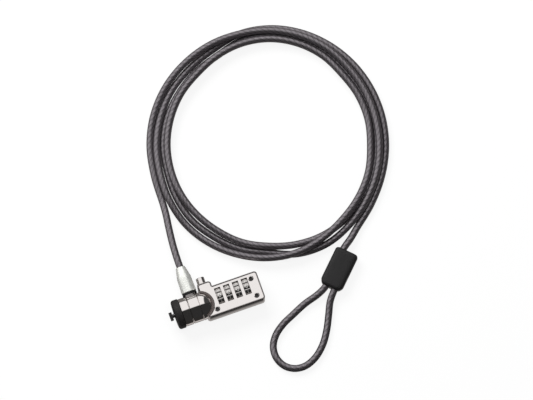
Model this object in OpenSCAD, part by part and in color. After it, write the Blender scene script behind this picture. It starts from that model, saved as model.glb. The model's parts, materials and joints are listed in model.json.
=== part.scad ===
// Combination cable lock for a laptop's security slot.
// Row frame: X runs along the barrel from the nose to the block's end, Y towards the cable and the
// button, Z up from the flat back. The origin lies on the back, under the barrel's axis.

/* [Barrel and swivel] */
// Height of the barrel's axis above the back, and radius of the nose cap that rests beside it
barrel_z = 10.2; // [10:0.1:10.8]
// Radius of the domed end
dome_r = 9.7; // [9.4:0.1:9.9]
// Centre of the dome along the barrel
dome_x = -12.0; // [-12.6:0.1:-12]
// Radius of the tube that the collar turns on
journal_r = 7.0; // [6.6:0.1:7.2]
// Radius of the swivel collar
collar_r = 9.6; // [9.4:0.1:9.8]
// Width of the swivel collar
collar_w = 7.2; // [7:0.1:9]
// Radius of the fixed ring behind the nose
ring_r = 9.7; // [9.4:0.1:9.8]
// Width of the fixed ring
ring_w = 5.8; // [4:0.1:8]
// Chamfer on the edges of the collar and the ring
ring_chamfer = 0.4; // [0.2:0.1:0.8]

/* [Nose] */
// Length of the rubber cap
cap_w = 4.8; // [4.4:0.1:8]
// Thickness of the cap's front wall
cap_front_t = 1.0; // [0.6:0.1:1.6]
// Radius of the cap's front edge
cap_round = 1.6; // [0.8:0.1:1.8]
// Wall of the spigot that holds the cap
spigot_wall = 1.2; // [1:0.1:1.6]
// Thickness of the plate in the nose
nose_plate_t = 2.2; // [1.6:0.1:2.6]
// Radius of the hole in the cap's front
cap_hole_r = 4.4; // [4:0.1:5]

/* [T-bar] */
// Length of the T-bar's head across its neck
t_head_w = 6.0; // [5.6:0.1:6.4]
// Thickness of the T-bar's head across its flats
t_head_t = 2.6; // [2.4:0.1:2.8]
// Depth of the T-bar's head along its axis
t_head_l = 2.0; // [1.4:0.1:2.4]
// Gap behind the head for the wall of the security slot
slot_wall_gap = 1.6; // [1.2:0.1:2.2]
// Radius of the T-bar's neck
t_neck_r = 1.3; // [1.1:0.1:1.4]
// Radius of the T-bar's shaft
t_shaft_r = 3.0; // [2.6:0.1:3.4]
// Side of the square tenon that carries the crank
tenon_w = 2.6; // [2.2:0.1:2.8]
// Radius of an anti-rotation pin
guard_pin_r = 0.8; // [0.6:0.1:0.9]
// Distance of each anti-rotation pin from the axis
guard_pin_offset = 2.5; // [2.4:0.1:2.8]

/* [Crank and button] */
// Travel of the button, which turns the T-bar a quarter turn
button_travel = 4.2; // [3.8:0.1:4.3]
// Radius of the crank's pin
crank_pin_r = 1.0; // [0.8:0.1:1.1]
// Thickness of the crank's disc
crank_t = 1.4; // [1.2:0.1:1.5]
// Length of the crank's pin inside the slider
crank_pin_l = 0.8; // [0.5:0.1:1]
// Clearance on each side of the pin in the slider's slot
slot_gap = 0.15; // [0.12:0.01:0.25]
// Radius of the button
button_r = 2.9; // [2.6:0.1:3]
// Height of the button's axis above the back
button_z = 6.6; // [6.4:0.1:7]
// How far the button stands out of its collar
button_out = 4.2; // [4.2:0.1:6]
// Radius of the edge around the button's front
button_edge = 0.5; // [0.3:0.1:0.8]
// Width of the slider across the barrel's axis
slider_w = 3.8; // [3.6:0.1:3.9]
// Radius of the slider's stem inside the button
stem_r = 1.8; // [1.4:0.1:2.2]
// Rise of the slider's ramp over its run, which moves the spindle
ramp_slope = 0.3333; // [0.3:0.01:0.35]

/* [Housing] */
// Left end of the block
block_start = -9.5; // [-9.8:0.1:-9.5]
// Right end of the block
block_end = 31.6; // [31.6:0.1:34]
// Half the width of the block
block_half_w = 10.1; // [10.1:0.1:11]
// Front of the raised shoulder around the button
shoulder_y = 14.0; // [13.5:0.1:15]
// Height of the casting
block_h = 14.2; // [14:0.1:14.5]
// Radius of the block's upright corners
corner_r = 2.0; // [1:0.1:2.4]
// Thickness of the face plate
plate_t = 1.0; // [0.8:0.1:1.4]
// Thickness of the back cover
cover_t = 1.0; // [0.8:0.1:1.2]
// Height of the button's conical collar above the shoulder
rim_h = 1.2; // [0.8:0.1:1.6]
// Width of the collar's rim around the button
rim_w = 0.5; // [0.4:0.1:0.6]
// Radius of a rivet's shank
rivet_r = 0.9; // [0.7:0.1:1]
// Radius of a rivet's head
rivet_head_r = 2.0; // [1.6:0.1:2.2]
// Height of a rivet's head
rivet_head_h = 0.7; // [0.6:0.1:1.1]
// Radius of the dish in a rivet's head
rivet_dish_r = 1.4; // [1:0.1:1.5]

/* [Wheels] */
// Place of the first wheel along the barrel's direction
wheel_x = 2.7; // [2.6:0.1:2.8]
// Offset of the wheels' axis towards the cable side
wheel_y = 2.0; // [1.6:0.1:2]
// Room under the number wheels for the detent spring
wheel_foot_gap = 1.8; // [1.6:0.1:2.2]
// Width of a number wheel
wheel_w = 4.0; // [3.6:0.1:4.2]
// How far a wheel stands above the face plate
wheel_proud = 1.6; // [1.4:0.1:1.9]
// Radius of the finger grooves between the figures
groove_r = 0.6; // [0.4:0.1:0.7]
// Depth of the finger grooves
groove_depth = 0.35; // [0.2:0.05:0.5]
// Radius of a code ring
code_r = 3.2; // [3.1:0.1:3.3]
// Width of a code ring
code_w = 5.6; // [5.4:0.1:5.7]
// Height of the keys on a code ring
key_h = 0.4; // [0.3:0.05:0.5]
// Width of the keys on a code ring
key_w = 0.9; // [0.7:0.1:1.1]
// Thickness of the washers between code rings
washer_t = 0.4; // [0.3:0.1:0.5]

/* [Spindle] */
// Radius of the combination spindle
spindle_r = 1.8; // [1.6:0.1:1.9]
// Radius of the spindle's round nose
spindle_nose_r = 1.2; // [1:0.1:1.4]
// Height of a fin above the spindle's surface
fin_h = 0.75; // [0.6:0.05:0.85]
// Thickness of a fin along the spindle
fin_t = 0.9; // [0.7:0.1:1]
// Width of a fin across the spindle
fin_w = 1.4; // [1.2:0.1:1.6]
// Depth of the pocket in a code ring where the fin waits
fin_pocket = 1.5; // [1.4:0.1:1.6]
// Radius of the slotted reset screw's head
reset_r = 2.6; // [2.2:0.1:2.8]
// Thickness of the reset screw's head
reset_head_t = 0.8; // [0.8:0.1:0.9]

/* [Cable end] */
// Radius of the black washer under the ferrule
gasket_r = 5.0; // [4.4:0.1:5]
// Thickness of the black washer under the ferrule
gasket_t = 1.6; // [1.4:0.1:2.6]
// Radius of the ferrule at its base
ferrule_r = 5.2; // [4.8:0.1:5.2]
// Radius of the ferrule where its cone begins
ferrule_waist_r = 4.85; // [4.4:0.05:4.9]
// Radius of the ferrule at its narrow end
ferrule_tip_r = 3.2; // [2.8:0.1:3.4]
// Length of the ferrule's straight part
ferrule_straight = 10.9; // [9:0.1:12]
// Length of the ferrule's cone
ferrule_cone = 7.5; // [7:0.1:9]
// Radius of the stud that the ferrule turns on
stud_r = 2.0; // [1.6:0.1:2.2]
// Radius of the flange on the stud's end
flange_r = 3.0; // [2.7:0.1:3.1]
// Thickness of the flange
flange_t = 1.1; // [0.9:0.1:1.2]

/* [Cable] */
// Diameter of the cable with its plastic coat
cable_d = 4.8; // [4.4:0.1:4.8]
// Inner radius of the coil
coil_in_r = 67.6; // [60:0.1:70]
// Width of the coil's bundle
coil_w = 14.8; // [12:0.1:14.8]
// Height of the coil's bundle
coil_h = 9.6; // [8:0.1:12]
// Radius of the bundle's long edges
coil_edge_r = 4.0; // [1:0.1:4]

/* [Crimp] */
// Length of the crimp sleeve
crimp_l = 28; // [24:0.5:30]
// Width of the crimp sleeve
crimp_w = 16.4; // [15:0.1:16.4]
// Thickness of the crimp sleeve
crimp_t = 9.0; // [8.8:0.1:10]
// Radius of the sleeve's corners
crimp_corner = 2.2; // [1:0.1:3]
// How far the sleeve narrows on each side towards the loop
crimp_taper_w = 1.9; // [0.5:0.1:2]
// Length over which the sleeve narrows
crimp_taper_l = 3.6; // [2:0.1:6]
// Length of the metal ferrule in the sleeve
crimp_core_l = 19; // [14:0.5:20]
// Distance of the two cable bores from the middle of the sleeve
strand_offset = 3.3; // [2.7:0.05:3.5]
// Wall of the metal ferrule around its bores
crimp_core_wall = 1.2; // [0.9:0.1:1.3]

/* [Clearances] */
// Radial clearance of a running fit
run_gap = 0.05; // [0.03:0.01:0.08]
// Gap between faces that move past each other
side_gap = 0.2; // [0.15:0.01:0.25]
// Clearance of a press fit
press_gap = 0.02; // [0.01:0.01:0.03]

/* [Hidden] */
WHEELS = [0, 1, 2, 3];
$fn = 64;

figures = 10;
figure_angle = 360 / figures;
over = 1;
half_turn_sin = sin(45);

// Stations along the barrel, from the dome out to the nose
collar_x1 = dome_x - side_gap;
collar_x0 = collar_x1 - collar_w;
collar_x = (collar_x0 + collar_x1) / 2;
ring_x1 = collar_x0 - side_gap;
ring_x0 = ring_x1 - ring_w;
cap_x0 = ring_x0 - cap_w;
spigot_x0 = cap_x0 + cap_front_t;
spigot_r = journal_r + spigot_wall;
tube_x0 = spigot_x0 + nose_plate_t;
t_back_x = cap_x0 - slot_wall_gap;
t_tip_x = t_back_x - t_head_l;
t_shoulder_x = tube_x0 + side_gap;

// Crank and slider
throw = button_travel / (2 * half_turn_sin);
crank_r = throw + crank_pin_r + side_gap;
pocket_wall = 0.4;
crank_pocket_x = block_start + pocket_wall;
crank_x0 = crank_pocket_x + side_gap;
crank_x1 = crank_x0 + crank_t;
slider_x0 = crank_x1 + side_gap;
slider_x1 = slider_x0 + slider_w;
channel_x1 = slider_x1 + side_gap;
button_x = (slider_x0 + slider_x1) / 2 - side_gap;
pin_y = throw * half_turn_sin;
pin_rest_z = barrel_z - throw * half_turn_sin;
pin_low_z = barrel_z - throw;
slot_half = crank_pin_r + slot_gap;
slot_end_x = slider_x0 + crank_pin_l + side_gap;
slider_wall = 1.5;
slider_y0 = pin_y - slot_half - slider_wall;
shoulder_wall = 4.2;
channel_y1 = shoulder_y - shoulder_wall;
slider_y1 = channel_y1 - side_gap;
channel_wall = 1.1;
channel_y0 = -block_half_w + channel_wall;
slider_z0 = cover_t + side_gap;
slider_low_z1 = 8.0;
rim_flare = 0.5;
rim_y = shoulder_y + rim_h;
button_y1 = rim_y + button_out;
button_foot_y = slider_y1 + side_gap;
button_front_t = 2;
spring_x = (slider_x0 + slider_x1) / 2;
spring_peg_r = 1;
spring_peg_l = 2;
button_spring_r = 1.45;
button_wire_r = 0.22;
spring_gap = 0.05;

// Wheels, code rings and spindle
wheel_r = (block_h + plate_t + wheel_proud - cover_t - wheel_foot_gap) / 2;
wheel_z = cover_t + wheel_foot_gap + wheel_r;
wheel_pitch = code_w + washer_t + 2 * side_gap;
wheel_gap = 0.3;
window_gap_x = 0.15;
window_gap_y = 1.25;
plate_lap = 0.7;
last_wheel_x = wheel_x + (len(WHEELS) - 1) * wheel_pitch;
key_r = code_r + key_h;
code_bore_r = key_r + side_gap;
code_x0 = wheel_x - code_w / 2 - washer_t - 2 * side_gap;
plug_x0 = last_wheel_x + code_w / 2 + washer_t + 2 * side_gap;
fin_r = spindle_r + fin_h;
fin_room_r = fin_r + side_gap;
spindle_shift = button_travel * ramp_slope;
fin_dx = -code_w / 2 + (fin_pocket - fin_t) / 2;
ramp_z1 = wheel_z + spindle_nose_r + side_gap;
ramp_wall = 0.9;
ramp_x = slot_end_x + ramp_wall;
nose_x = ramp_x + (spindle_nose_r + run_gap) * norm([1, ramp_slope]);
spindle_x0 = channel_x1 + side_gap / 2;
reset_x1 = block_end - side_gap;
reset_x0 = reset_x1 - reset_head_t;
seat_t = 0.8;
spring_seat_x = reset_x0 - press_gap - seat_t;
spindle_spring_l = 2.8;
spindle_spring_r = 1.5;
spindle_wire_r = 0.2;
spindle_x1 = spring_seat_x - spindle_spring_l;
reset_stem_r = 1.0;
reset_stem_out = 0.4;
reset_slot_w = 0.8;
reset_slot_depth = 0.6;
detent_angle = figure_angle / 2;
detent_r = 0.55;
strip_t = 0.3;
strip_w = 2.2;
strip_offset = 3.8;
strip_y0 = wheel_y - strip_offset;
finger_inset = 0.3;
finger_root = 1;

// Rivets stand in the corners of the face plate that the wheels and the button leave free
rivet_y = 6.1;
rivet_shift = 0.3;
rivet_x0 = (channel_x1 + wheel_x - wheel_w / 2 - wheel_gap) / 2 - rivet_shift;
rivet_plug_in = 1;
rivet_x1 = plug_x0 + rivet_plug_in;
rivet_spots = [[rivet_x1, rivet_y], [rivet_x1, -rivet_y], [rivet_x0, -rivet_y]];
rivet_gap = 0.05;
rivet_dish_floor = 0.15;
rivet_foot_r = 1.5;
rivet_foot_t = 0.6;
rivet_foot_z = 0.1;

// Swivel stud and ferrule
boss_y = ring_r + side_gap;
gasket_y = boss_y + gasket_t;
ferrule_y0 = gasket_y + side_gap;
ferrule_y1 = ferrule_y0 + ferrule_straight + ferrule_cone;
flange_gap = 0.3;
flange_y0 = journal_r + flange_gap;
flange_y1 = flange_y0 + flange_t;
cable_r = cable_d / 2;
cable_bore_r = cable_r + run_gap;
cable_bore_l = 15;
cable_bore_y = ferrule_y1 - cable_bore_l;

// Crimp, turned so that its own X axis runs up the cable towards the coil
crimp_at = [85.55, -6.35];
crimp_turn = 45;
crimp_z = crimp_t / 2;
sleeve_wall = 0.5;
strand_out = 1;
strand_in = 3;

// Cable: the coil and the points that the open stretches run through
coil_at = [69.7, 90.8];
cable_sides = 10;
ROUTE_LOCK_TAIL = [
    [-15.2, 46.5, 8.6], [-13.5, 61, 5.6], [-12.4, 68.5, 3.6], [-11.6, 76, 2.6], [-10.6, 82, 2.4]
];
ROUTE_LOOP_TAIL = [
    [106.5, 16.8, 2.6], [100.5, 11.5, 3.8]
];
ROUTE_LOOP = [
    [66.5, -17.5, 3.6], [56, -20.5, 2.6], [46, -24.8, 2.4], [37.5, -28.8, 2.4],
    [30.2, -34.4, 2.4], [26, -41.2, 2.4], [25.4, -49, 2.4], [28.6, -56, 2.4],
    [34.6, -60.2, 2.4], [42, -61, 2.4], [50.4, -57.8, 2.4], [58.2, -51, 2.4],
    [64.2, -42.2, 2.4], [69, -32.6, 2.8], [72.8, -24.8, 3.8]
];

// A cylinder along X, Y or Z between two stations
module x_rod(r, x0, x1, y = 0, z = barrel_z) {
    translate([x0, y, z]) rotate([0, 90, 0]) cylinder(r = r, h = x1 - x0);
}
module y_rod(r, y0, y1, x, z) {
    translate([x, y0, z]) rotate([-90, 0, 0]) cylinder(r = r, h = y1 - y0);
}
module z_rod(r, z0, z1, x, y) {
    translate([x, y, z0]) cylinder(r = r, h = z1 - z0);
}
// A box between two corners
module box(a, b) {
    translate(a) cube(b - a);
}
// A ring about the barrel's axis, with chamfered outer edges
module barrel_ring(r, bore, x0, x1, chamfer) {
    translate([x0, 0, barrel_z]) rotate([0, 90, 0]) rotate_extrude()
        polygon([
            [bore, 0], [r - chamfer, 0], [r, chamfer],
            [r, x1 - x0 - chamfer], [r - chamfer, x1 - x0], [bore, x1 - x0]
        ]);
}
// A rectangle with true round corners
module round_rect(a, b, r) {
    translate([a.x + r, a.y]) square([b.x - a.x - 2 * r, b.y - a.y]);
    translate([a.x, a.y + r]) square([b.x - a.x, b.y - a.y - 2 * r]);
    for (x = [a.x + r, b.x - r], y = [a.y + r, b.y - r]) translate([x, y]) circle(r);
}
// The outline of block, shoulder, face plate and back cover
module block_outline() {
    round_rect([block_start, -block_half_w], [block_end, block_half_w], corner_r);
    round_rect([block_start, -block_half_w], [0, shoulder_y], corner_r);
}
// Places the children at the axis of wheel i
module at_wheel(i) {
    translate([wheel_x + i * wheel_pitch, wheel_y, wheel_z]) children();
}

// A tube swept along a list of points, with its rings square to the path
function unit(v) = v / norm(v);
function path_dir(p, i) =
    unit(p[min(i + 1, len(p) - 1)] - p[max(i - 1, 0)]);
function ring(centre, dir, r, sides) =
    let (side = unit(cross(dir, [0, 0, 1])), up = cross(side, dir))
    [for (k = [0 : sides - 1])
        let (a = 360 * (k + 0.5) / sides) centre + r * (cos(a) * side + sin(a) * up)];
module tube(path, r, sides) {
    n = len(path);
    points = [for (i = [0 : n - 1]) each ring(path[i], path_dir(path, i), r, sides)];
    walls = [for (i = [0 : n - 2], k = [0 : sides - 1])
        let (a = i * sides + k, b = i * sides + (k + 1) % sides)
        [a, b, b + sides, a + sides]];
    first = [for (k = [sides - 1 : -1 : 0]) k];
    last = [for (k = [0 : sides - 1]) (n - 1) * sides + k];
    polyhedron(points, concat([first], walls, [last]));
}
// A helical spring that stands on the XY plane
module spring(mean_r, wire_r, length, turns) {
    steps = 12;
    count = turns * steps;
    sides = 6;
    rise = length - 2 * wire_r;
    points = [for (i = [0 : count], k = [0 : sides - 1])
        let (a = 360 * i / steps, b = 360 * k / sides, r = mean_r + wire_r * cos(b))
        [r * cos(a), r * sin(a), wire_r + rise * i / count + wire_r * sin(b)]];
    walls = [for (i = [0 : count - 1], k = [0 : sides - 1])
        let (a = i * sides + k, b = i * sides + (k + 1) % sides)
        [a, a + sides, b + sides, b]];
    first = [for (k = [0 : sides - 1]) k];
    last = [for (k = [sides - 1 : -1 : 0]) count * sides + k];
    polyhedron(points, concat([first], walls, [last]));
}

// A place in the crimp: t along its axis towards the coil, s across it
function crimp_point(t, s) = let (c = cos(crimp_turn), n = sin(crimp_turn))
    [crimp_at.x + t * c - s * n, crimp_at.y + t * n + s * c, crimp_z];
module in_crimp() {
    translate([crimp_at.x, crimp_at.y, crimp_z]) rotate([0, 0, crimp_turn]) children();
}

module cable_coil() {
    color("DimGray") translate([coil_at.x, coil_at.y, 0]) rotate_extrude()
        round_rect([coil_in_r, 0], [coil_in_r + coil_w, coil_h], coil_edge_r);
}
module cable_lock_tail() {
    path = concat(
        [for (y = [cable_bore_y + strand_out, cable_bore_y + cable_bore_l / 2, ferrule_y1,
            ferrule_y1 + cable_d]) [collar_x, y, barrel_z]],
        ROUTE_LOCK_TAIL
    );
    color("DimGray") tube(path, cable_r, cable_sides);
}
module cable_loop_tail() {
    path = concat(
        ROUTE_LOOP_TAIL,
        [for (t = [crimp_l / 2 + strand_out, crimp_l / 2 - strand_in, 0]) crimp_point(t, strand_offset)]
    );
    color("DimGray") tube(path, cable_r, cable_sides);
}
module cable_loop() {
    path = concat(
        [for (t = [0, strand_in - crimp_l / 2, -crimp_l / 2 - strand_out]) crimp_point(t, strand_offset)],
        ROUTE_LOOP,
        [for (t = [-crimp_l / 2 - strand_out, strand_in - crimp_l / 2, crimp_core_l / 2 - strand_out])
            crimp_point(t, -strand_offset)]
    );
    color("DimGray") tube(path, cable_r, cable_sides);
}
// The section of the metal ferrule, also cut out of the sleeve
module crimp_core_shape(l, grow) {
    r = cable_bore_r + crimp_core_wall + grow;
    rotate([0, 90, 0]) {
        for (s = [-strand_offset, strand_offset]) translate([0, s, -l / 2]) cylinder(r = r, h = l);
        translate([-r, -strand_offset, -l / 2]) cube([2 * r, 2 * strand_offset, l]);
    }
}
module strand_bore(s, t0, t1) {
    translate([t0, s, 0]) rotate([0, 90, 0]) cylinder(r = cable_bore_r, h = t1 - t0);
}
module sleeve_taper() {
    half = crimp_w / 2;
    end_half = max(half - crimp_taper_w, strand_offset + cable_bore_r + sleeve_wall);
    taper_x = crimp_taper_l - crimp_l / 2;
    translate([0, 0, -crimp_t / 2]) linear_extrude(crimp_t) polygon([
        [-crimp_l / 2, -end_half], [taper_x, -half], [crimp_l / 2, -half],
        [crimp_l / 2, half], [taper_x, half], [-crimp_l / 2, end_half]
    ]);
}
module crimp_sleeve() {
    edge = crimp_corner;
    color([0.08, 0.08, 0.08]) in_crimp() difference() {
        intersection() {
            translate([0, 0, -crimp_t / 2]) linear_extrude(crimp_t)
                round_rect([-crimp_l / 2, -crimp_w / 2], [crimp_l / 2, crimp_w / 2], edge);
            rotate([90, 0, 0]) translate([0, 0, -crimp_w / 2]) linear_extrude(crimp_w)
                round_rect([-crimp_l / 2, -crimp_t / 2], [crimp_l / 2, crimp_t / 2], edge);
            rotate([90, 0, 90]) translate([0, 0, -crimp_l / 2]) linear_extrude(crimp_l)
                round_rect([-crimp_w / 2, -crimp_t / 2], [crimp_w / 2, crimp_t / 2], edge);
            sleeve_taper();
        }
        crimp_core_shape(crimp_core_l + 2 * press_gap, press_gap);
        strand_bore(strand_offset, -crimp_l, crimp_l);
        strand_bore(-strand_offset, -crimp_l, 0);
    }
}
module crimp_ferrule() {
    color("Silver") in_crimp() difference() {
        crimp_core_shape(crimp_core_l, 0);
        for (s = [-strand_offset, strand_offset]) strand_bore(s, -crimp_l, crimp_l);
    }
}

module cable_ferrule() {
    color("Gainsboro") translate([collar_x, 0, barrel_z]) rotate([-90, 0, 0]) difference() {
        rotate_extrude() polygon([
            [0, flange_y0], [flange_r, flange_y0], [flange_r, flange_y1], [stud_r, flange_y1],
            [stud_r, ferrule_y0], [ferrule_r, ferrule_y0],
            [ferrule_waist_r, ferrule_y0 + ferrule_straight], [ferrule_tip_r, ferrule_y1],
            [0, ferrule_y1]
        ]);
        translate([0, 0, cable_bore_y]) cylinder(r = cable_bore_r, h = ferrule_y1);
    }
}
module swivel_collar() {
    color("Gainsboro") difference() {
        union() {
            barrel_ring(collar_r, journal_r + run_gap, collar_x0, collar_x1, ring_chamfer);
            intersection() {
                difference() {
                    y_rod(gasket_r, 0, boss_y, collar_x, barrel_z);
                    x_rod(journal_r + run_gap, collar_x0 - over, collar_x1 + over);
                }
                box([collar_x0, 0, 0], [collar_x1, boss_y, 2 * barrel_z]);
            }
        }
        y_rod(stud_r + run_gap, 0, boss_y + over, collar_x, barrel_z);
        y_rod(flange_r + side_gap, 0, flange_y1 + run_gap, collar_x, barrel_z);
    }
}
module swivel_gasket() {
    color([0.08, 0.08, 0.08]) difference() {
        y_rod(gasket_r, boss_y, gasket_y, collar_x, barrel_z);
        y_rod(stud_r + run_gap, 0, gasket_y + over, collar_x, barrel_z);
    }
}

module wheel_room(i) {
    half = wheel_w / 2 + wheel_gap;
    room_r = wheel_r + wheel_gap;
    at_wheel(i) {
        translate([-half, 0, 0]) rotate([0, 90, 0]) cylinder(r = room_r, h = 2 * half);
        translate([-half, -room_r, -wheel_z]) cube([2 * half, 2 * room_r, wheel_z]);
    }
}
module slider_channel() {
    box([slider_x0 - 2 * side_gap, channel_y0, 0], [channel_x1, channel_y1, slider_low_z1 + 2 * side_gap]);
    box([slider_x0 - side_gap, channel_y0, 0], [channel_x1, channel_y1, ramp_z1 + side_gap]);
}
module crank_room() {
    x_rod(crank_r + side_gap, crank_pocket_x, crank_x1 + side_gap);
    box([crank_pocket_x, -crank_r - side_gap, 0], [crank_x1 + side_gap, crank_r + side_gap, barrel_z]);
}
module main_housing() {
    color("Gainsboro") difference() {
        union() {
            translate([0, 0, cover_t]) linear_extrude(block_h - cover_t) block_outline();
            intersection() {
                translate([dome_x, 0, barrel_z]) sphere(dome_r);
                box([dome_x, -dome_r, cover_t], [dome_x + dome_r, dome_r, barrel_z + dome_r]);
            }
            x_rod(journal_r, tube_x0, dome_x + over);
            translate([button_x, shoulder_y - over, button_z]) rotate([-90, 0, 0])
                cylinder(r1 = button_r + rim_w + rim_flare, r2 = button_r + rim_w, h = rim_h + over);
        }
        x_rod(t_shaft_r + run_gap, tube_x0 - over, crank_pocket_x + over);
        crank_room();
        slider_channel();
        y_rod(button_r + run_gap, button_foot_y - button_travel - side_gap, rim_y + over, button_x, button_z);
        for (i = WHEELS) wheel_room(i);
        x_rod(code_bore_r, code_x0, block_end + over, wheel_y, wheel_z);
        x_rod(spindle_r + run_gap, slider_x1, code_x0 + over, wheel_y, wheel_z);
        for (p = rivet_spots) z_rod(rivet_r + rivet_gap, 0, block_h + over, p.x, p.y);
        detent_room();
    }
}
module face_plate() {
    half_slot = wheel_w / 2 + window_gap_x;
    half_chord = sqrt(pow(wheel_r, 2) - pow(wheel_r - wheel_proud, 2)) + window_gap_y;
    color("Gainsboro") difference() {
        translate([0, 0, block_h]) linear_extrude(plate_t) block_outline();
        z_rod(dome_r - plate_lap, 0, block_h + plate_t + over, dome_x, 0);
        for (i = WHEELS) at_wheel(i) translate([-half_slot, -half_chord, 0])
            cube([2 * half_slot, 2 * half_chord, wheel_r * 2]);
        for (p = rivet_spots) z_rod(rivet_r + rivet_gap, 0, block_h + 2 * plate_t, p.x, p.y);
    }
}
module back_cover() {
    color("Silver") difference() {
        linear_extrude(cover_t) block_outline();
        for (p = rivet_spots) z_rod(rivet_r + rivet_gap, -over, cover_t + over, p.x, p.y);
        for (p = rivet_spots)
            z_rod(rivet_foot_r + rivet_gap, -over, rivet_foot_z + rivet_foot_t + rivet_gap, p.x, p.y);
    }
}
module housing_rivets() {
    cap_r = (pow(rivet_head_r, 2) + pow(rivet_head_h, 2)) / (2 * rivet_head_h);
    top = block_h + plate_t;
    rim = top + rivet_head_h - cap_r + sqrt(pow(cap_r, 2) - pow(rivet_dish_r, 2));
    depth = rim - top - rivet_dish_floor;
    dish = (pow(rivet_dish_r, 2) + pow(depth, 2)) / (2 * depth);
    color("Gainsboro") for (p = rivet_spots) difference() {
        union() {
            z_rod(rivet_r, rivet_foot_z, top + rivet_head_h / 2, p.x, p.y);
            z_rod(rivet_foot_r, rivet_foot_z, rivet_foot_z + rivet_foot_t, p.x, p.y);
            intersection() {
                translate([p.x, p.y, top + rivet_head_h - cap_r]) sphere(cap_r);
                z_rod(rivet_head_r, top, top + rivet_head_h, p.x, p.y);
            }
        }
        translate([p.x, p.y, top + rivet_dish_floor + dish]) sphere(dish);
    }
}

module nose_ring() {
    color("Gainsboro") {
        barrel_ring(ring_r, journal_r + press_gap, ring_x0, ring_x1, ring_chamfer);
        barrel_ring(spigot_r, journal_r + press_gap, spigot_x0, ring_x0 + over, ring_chamfer);
    }
}
module nose_plate() {
    color("Silver") difference() {
        x_rod(journal_r, spigot_x0, tube_x0);
        x_rod(t_neck_r + run_gap, spigot_x0 - over, tube_x0 + over);
        guard_pin_shapes(guard_pin_r + press_gap);
    }
}
module guard_pin_shapes(r) {
    for (s = [-1, 1])
        x_rod(r, t_back_x + side_gap, tube_x0, 0, barrel_z + s * guard_pin_offset);
}
module guard_pins() {
    color("Silver") guard_pin_shapes(guard_pin_r);
}
module nose_cap() {
    color([0.08, 0.08, 0.08]) difference() {
        translate([cap_x0, 0, barrel_z]) rotate([0, 90, 0]) rotate_extrude() {
            translate([0, cap_round]) square([barrel_z, cap_w - cap_round]);
            square([barrel_z - cap_round, cap_round + over]);
            translate([barrel_z - cap_round, cap_round]) circle(cap_round);
        }
        x_rod(spigot_r + press_gap, spigot_x0, ring_x0 + over);
        x_rod(cap_hole_r, cap_x0 - over, spigot_x0 + over);
    }
}

module t_bar() {
    color("Gray") {
        intersection() {
            x_rod(t_head_w / 2, t_tip_x, t_back_x);
            box([t_tip_x, -t_head_w, barrel_z - t_head_t / 2], [t_back_x, t_head_w, barrel_z + t_head_t / 2]);
        }
        x_rod(t_neck_r, t_back_x - t_head_l / 2, t_shoulder_x + over);
        x_rod(t_shaft_r, t_shoulder_x, crank_x0);
        half = tenon_w / 2;
        box([crank_x0 - over, -half, barrel_z - half], [crank_x1, half, barrel_z + half]);
    }
}
module t_bar_crank() {
    half = tenon_w / 2 + press_gap;
    color("Gray") difference() {
        union() {
            x_rod(crank_r, crank_x0, crank_x1);
            x_rod(crank_pin_r, crank_x1 - crank_t / 2, slider_x0 + crank_pin_l, pin_y, pin_rest_z);
        }
        box([crank_x0 - over, -half, barrel_z - half], [crank_x1, half, barrel_z + half]);
    }
}

module release_button() {
    length = button_y1 - button_foot_y;
    color("Gainsboro") difference() {
        translate([button_x, button_foot_y, button_z]) rotate([-90, 0, 0]) rotate_extrude() {
            square([button_r, length - button_edge]);
            square([button_r - button_edge, length]);
            translate([button_r - button_edge, length - button_edge]) circle(button_edge);
        }
        y_rod(stem_r + press_gap, 0, button_y1 - button_front_t, button_x, button_z);
    }
}
module button_slider() {
    surf = function (y) ramp_x + (y - wheel_y) * ramp_slope;
    full_y = wheel_y + (slider_x1 - ramp_x) / ramp_slope;
    color("Silver") difference() {
        union() {
            box([slider_x0, slider_y0, slider_z0], [slider_x1, slider_y1, slider_low_z1]);
            translate([0, 0, slider_low_z1 - over]) linear_extrude(ramp_z1 - slider_low_z1 + over)
                polygon([
                    [slider_x0, slider_y0], [surf(slider_y0), slider_y0],
                    [slider_x1, full_y], [slider_x1, slider_y1], [slider_x0, slider_y1]
                ]);
            y_rod(stem_r, slider_y1 - over, button_y1 - button_front_t - side_gap, button_x, button_z);
            y_rod(spring_peg_r, slider_y0 - spring_peg_l, slider_y0 + over, spring_x, button_z);
        }
        box(
            [slider_x0 - over, pin_y - slot_half, pin_low_z - crank_pin_r - side_gap],
            [slot_end_x, pin_y + slot_half, pin_rest_z + crank_pin_r + side_gap]
        );
    }
}
module button_spring() {
    length = slider_y0 - channel_y0 - 2 * spring_gap;
    color("Silver") translate([spring_x, channel_y0 + spring_gap, button_z]) rotate([-90, 0, 0])
        spring(button_spring_r, button_wire_r, length, 6);
}

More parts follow.
